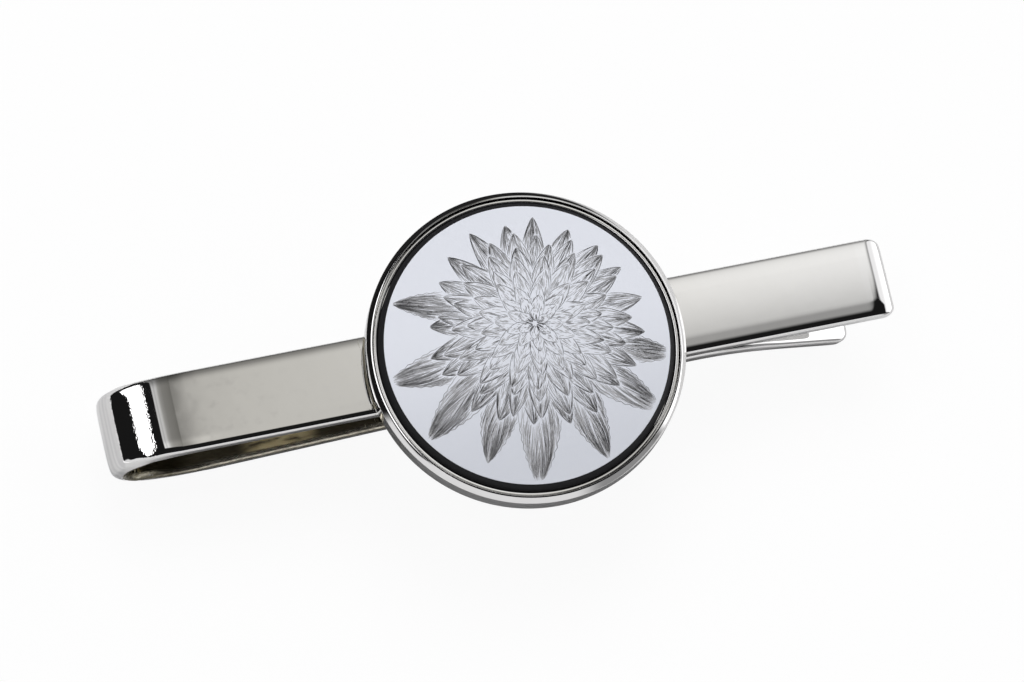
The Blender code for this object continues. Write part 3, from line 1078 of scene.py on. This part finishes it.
# A stop is (along, strength, warmth).
CEILING = [
    (-0.300, 0.00, 0.0), (-0.100, 0.00, 0.0), (-0.088, 0.74, 0.0), (-0.075, 0.70, 0.0),
    (-0.054, 0.54, 0.0), (-0.034, 0.70, 0.0), (-0.014, 0.62, 0.2), (0.006, 0.42, 0.4),
    (0.024, 0.34, 0.6), (0.053, 0.27, 0.8), (0.085, 0.22, 1.0), (0.102, 0.18, 1.0),
    (0.112, 0.27, 0.9), (0.117, 0.41, 0.8), (0.1215, 0.60, 0.8), (0.128, 0.69, 0.8),
    (0.150, 0.78, 0.6), (0.190, 0.96, 0.2), (0.220, 1.02, 0.0), (0.300, 1.03, 0.0),
]
CEILING_LIGHT = 1.1
RAMP_START, RAMP_LENGTH = -0.30, 0.60


def ceiling_stop(place, strength, warmth):
    tint = (1.0, 1.0 - 0.025 * warmth, 1.0 - 0.095 * warmth)
    level = strength / CEILING_LIGHT
    return (place - RAMP_START) / RAMP_LENGTH, tuple(level * part for part in tint) + (1.0,)


ceiling_colour = sky.node(
    "ShaderNodeValToRGB",
    {"stops": [ceiling_stop(*stop) for stop in CEILING]},
    {0: (along - RAMP_START) / RAMP_LENGTH},
)
print("The ceiling has", len(CEILING), "stops")

# %% [markdown]
# ## The ceiling's borders
#
# Its near border lies almost over the clip: the strip's near edge sees past it and turns
# black. Towards the right end the border is softer and swings away, as a cloth panel does
# that hangs at a slant. The light fades towards the far side, in one way over the left half
# and in another over the right half.

# %% Where the ceiling begins, fades and ends
BORDER_SOFTNESS = 0.015
SOFTER_AT_RIGHT = 0.05


def between(value, low, high, soft_low, soft_high):
    """One between two limits and zero outside, with a soft border at either side."""
    rising = sky.ramp(value, low - soft_low, low + soft_low)
    falling = sky.ramp(value, high - soft_high, high + soft_high, 1.0, 0.0)
    return rising * falling


above = sky.ramp(height, -0.02, 0.0)
rightness = sky.ramp(along, 0.13, 0.20)
front_line = (
    sky.ramp(along, 0.04, 0.12, -0.05, -0.075)
    + 0.06 * rightness
    + sky.ramp(along, 0.215, 0.30, 0.0, 0.20)
)
softness = BORDER_SOFTNESS + SOFTER_AT_RIGHT * rightness
front_border = sky.ramp((beyond - front_line) / softness, -1.0, 1.0)
brighter_front = 1.0 + 0.4 * sky.ramp(beyond, 0.19, 0.06) * sky.ramp(along, 0.127, 0.119)

fade_left = 1 - 0.58 * sky.ramp(beyond, 0.33, 0.60) - 0.14 * sky.ramp(beyond, 0.58, 1.0)
fade_right = sky.ramp(beyond, 0.145, 0.275, 0.42, 1.16) * sky.ramp(beyond, 0.34, 1.08, 1.0, 0.31)
fade = fade_left + rightness * (fade_right - fade_left)

right_end = sky.ramp(beyond, 0.17, 0.235, 0.19, 0.345)
before_end = sky.ramp(along - right_end, 0.0, 0.12, 1.0, 0.0)
ceiling_mask = fade * front_border * brighter_front * before_end
print("The ceiling is bordered")

# %% [markdown]
# ## Softboxes and low panels
#
# Two softboxes stand to the left and the right. The left one's near end is rounded, and the
# heel shows it as a white band with a round end. Low panels in front and at the far left
# give the lower edges and the heel's side their light. Between them the room is dark, and
# this draws the black bands.

# %% The softboxes
LEFT_BOX_LIGHT = 2.3
LEFT_BOX_INNER_BORDER = -0.264
RIGHT_BOX_LIGHT = 2.0

outer_border = -0.590 - 0.125 * sky.ramp(beyond, 0.28, 0.52) + 0.10 * sky.ramp(beyond, 0.56, 0.72)
box_middle = 0.5 * outer_border + LEFT_BOX_INNER_BORDER / 2
box_half = LEFT_BOX_INNER_BORDER / 2 - 0.5 * outer_border
box_side = (along - box_middle) / box_half
box_end = 0.77 * sky.ramp(beyond, 0.14, -0.05) + 0.23 * sky.ramp(beyond, -0.03, -0.58)
from_middle = (box_side * box_side + box_end * box_end) ** 0.5
left_box = sky.ramp(from_middle, 0.97, 1.03, 1.0, 0.0) * between(beyond, -0.60, 0.74, 0.02, 0.05)

box_start = sky.ramp(beyond, 0.10, 0.21, 0.60, 0.40)
right_box = 0.58 * sky.ramp(along - box_start, 0.0, 0.10) + 0.42 * sky.ramp(along, 0.62, 1.0)
right_box = right_box * between(beyond, -0.45, 0.80, 0.08, 0.06)
print("The softboxes stand")

# %% The low panels
LOW_PANEL_LIGHT = 0.95

panel_top = 0.14 * sky.ramp(along, -0.85, -0.70)
panel_reach = sky.ramp(along, -0.75, -0.96, -0.50, -0.10)
low_front = (
    sky.ramp(height - panel_top, 0.30, 0.34, 1.0, 0.0)
    * sky.ramp(beyond - panel_reach, -0.06, 0.06, 1.0, 0.0)
    * sky.ramp(along, 0.25, 0.50, 1.0, 0.35)
)
low_left = (
    sky.ramp(along, -0.6, -0.8) * sky.ramp(height, 0.055, 0.035) * sky.ramp(beyond, 0.42, 0.34)
)
print("The low panels stand")

# %% Mix the dome's light
ROOM_LIGHT = 0.012
PANEL_COLOUR = (1.0, 1.0, 1.02)


def scaled(colour, factor):
    return sky.node("ShaderNodeVectorMath", {"operation": "SCALE"}, {0: colour, "Scale": factor})


panels = (
    ROOM_LIGHT
    + LEFT_BOX_LIGHT * left_box
    + RIGHT_BOX_LIGHT * right_box
    + LOW_PANEL_LIGHT * low_front
    + LOW_PANEL_LIGHT * low_left
)
all_light = sky.node(
    "ShaderNodeVectorMath",
    {"operation": "ADD"},
    {0: scaled(ceiling_colour, CEILING_LIGHT * ceiling_mask), 1: scaled(PANEL_COLOUR, panels)},
)
sky.feed(sky.tree.nodes["Background"].inputs["Color"], scaled(all_light, above))
print("The dome's light is mixed")

# %% [markdown]
# ## The floor
#
# The clip lies on a pale sheet. The camera sees most of the sheet as plain white, and the
# rest of it keeps the clip's soft shadow. Mirrored rays find it darker far behind the clip
# and close below it: this stands for a photographer's black cards and for the deep shade
# under a thing that lies flat.

# %% Lay the floor
SHEET = (0.92, 0.92, 0.925, 1.0)
SHADED_SHEET = (0.02, 0.02, 0.02, 1.0)
WHITE_SHARE = 0.93
SHADE_BELOW_CLIP = 0.55
FLOOR_HALF = 3

floor_finish = new_finish("pale_floor")
seen = floor_finish.node("ShaderNodeLightPath", output="Is Camera Ray")
mirrored = floor_finish.node("ShaderNodeLightPath", output="Is Glossy Ray")
floor_x, floor_y, _ = floor_finish.parts(floor_finish.place())
far_away = floor_finish.ramp(floor_y - 0.5 * floor_x.at_least(-1.0 * floor_x), 16.0, 26.0)
near_side_reach = 7.0 * floor_finish.ramp(floor_y, -3.4, -3.0)
below_clip = (
    floor_finish.ramp(floor_x, -25.0, -20.0)
    * floor_finish.ramp(floor_x - near_side_reach, 22.0, 15.0)
    * floor_finish.ramp(floor_y, -20.0, -14.0)
    * floor_finish.ramp(floor_y, 4.0, 0.0)
)
shade = mirrored * (far_away + SHADE_BELOW_CLIP * below_clip)
floor_finish.surface(
    Base_Color=floor_finish.mixed(shade, SHEET, SHADED_SHEET), Roughness=1.0, Specular_IOR_Level=0.0
)
white = floor_finish.node("ShaderNodeEmission", inputs={"Color": (1.0, 1.0, 1.0, 1.0)})
matt = Value(floor_finish, floor_finish.tree.nodes["Principled BSDF"].outputs[0])
floor_shader = floor_finish.node(
    "ShaderNodeMixShader", inputs={0: WHITE_SHARE * seen, 1: matt, 2: white}
)
floor_finish.feed(floor_finish.tree.nodes["Material Output"].inputs["Surface"], floor_shader)

floor_mesh = bpy.data.meshes.new("floor")
corner_sides = ((-1, -1), (1, -1), (1, 1), (-1, 1))
floor_corners = [(x * FLOOR_HALF, y * FLOOR_HALF, 0) for x, y in corner_sides]
floor_mesh.from_pydata(floor_corners, [], [(0, 1, 2, 3)])
floor_mesh.materials.append(floor_finish.owner)
floor = bpy.data.objects.new("floor", floor_mesh)
bpy.context.scene.collection.objects.link(floor)
print("The floor is", 2 * FLOOR_HALF, "m wide")

# %% [markdown]
# ## The lamp
#
# One large soft lamp at the far side gives the matt pieces and the floor their level of
# light. Mirrors don't see it, because the dome already holds all that they should show.

# %% Hang the lamp
lamp_data = bpy.data.lights.new("far_side_lamp", "AREA")
lamp_data.shape = "DISK"
lamp_data.size = 0.7
lamp_data.energy = 6.1
lamp = bpy.data.objects.new("far_side_lamp", lamp_data)
lamp.location = (0.15, 0.75, 0.85)
lamp.visible_glossy = False
lamp.visible_camera = False
aim = Vector((0.0, 0.0, 0.0)) - lamp.location
lamp.rotation_euler = aim.to_track_quat("-Z", "Y").to_euler()
bpy.context.scene.collection.objects.link(lamp)
print("The lamp hangs", round(aim.length, 2), "m away")

# %% [markdown]
# ## The camera
#
# The camera was fitted to the outlines in the photograph: a long lens half a metre away,
# tipped towards the near side and the closed end. From so far away the strip's long sides
# stay almost parallel.

# %% Set up the camera
CAMERA_PLACE = (-0.081834, -0.117153, 0.489520)
CAMERA_TIP = -0.2367
CAMERA_LEAN = 0.1698
CAMERA_ROLL = 0.2325
FOCAL_PIXELS = 7540.35
PICTURE_PIXELS = 1024
SENSOR = 36.0

view = Matrix.Rotation(CAMERA_ROLL, 3, "Z") @ Matrix.Rotation(CAMERA_TIP, 3, "X")
view = view @ Matrix.Rotation(CAMERA_LEAN, 3, "Y")
camera_data = bpy.data.cameras.new("camera")
camera_data.sensor_width = SENSOR
camera_data.lens = SENSOR * FOCAL_PIXELS / PICTURE_PIXELS
camera_data.clip_start = 0.01
camera = bpy.data.objects.new("camera", camera_data)
camera.matrix_world = Matrix.Translation(CAMERA_PLACE) @ view.transposed().to_4x4()
bpy.context.scene.collection.objects.link(camera)
bpy.context.scene.camera = camera
bpy.context.scene.view_settings.view_transform = "Standard"
print("The lens is", round(camera_data.lens), "mm long")
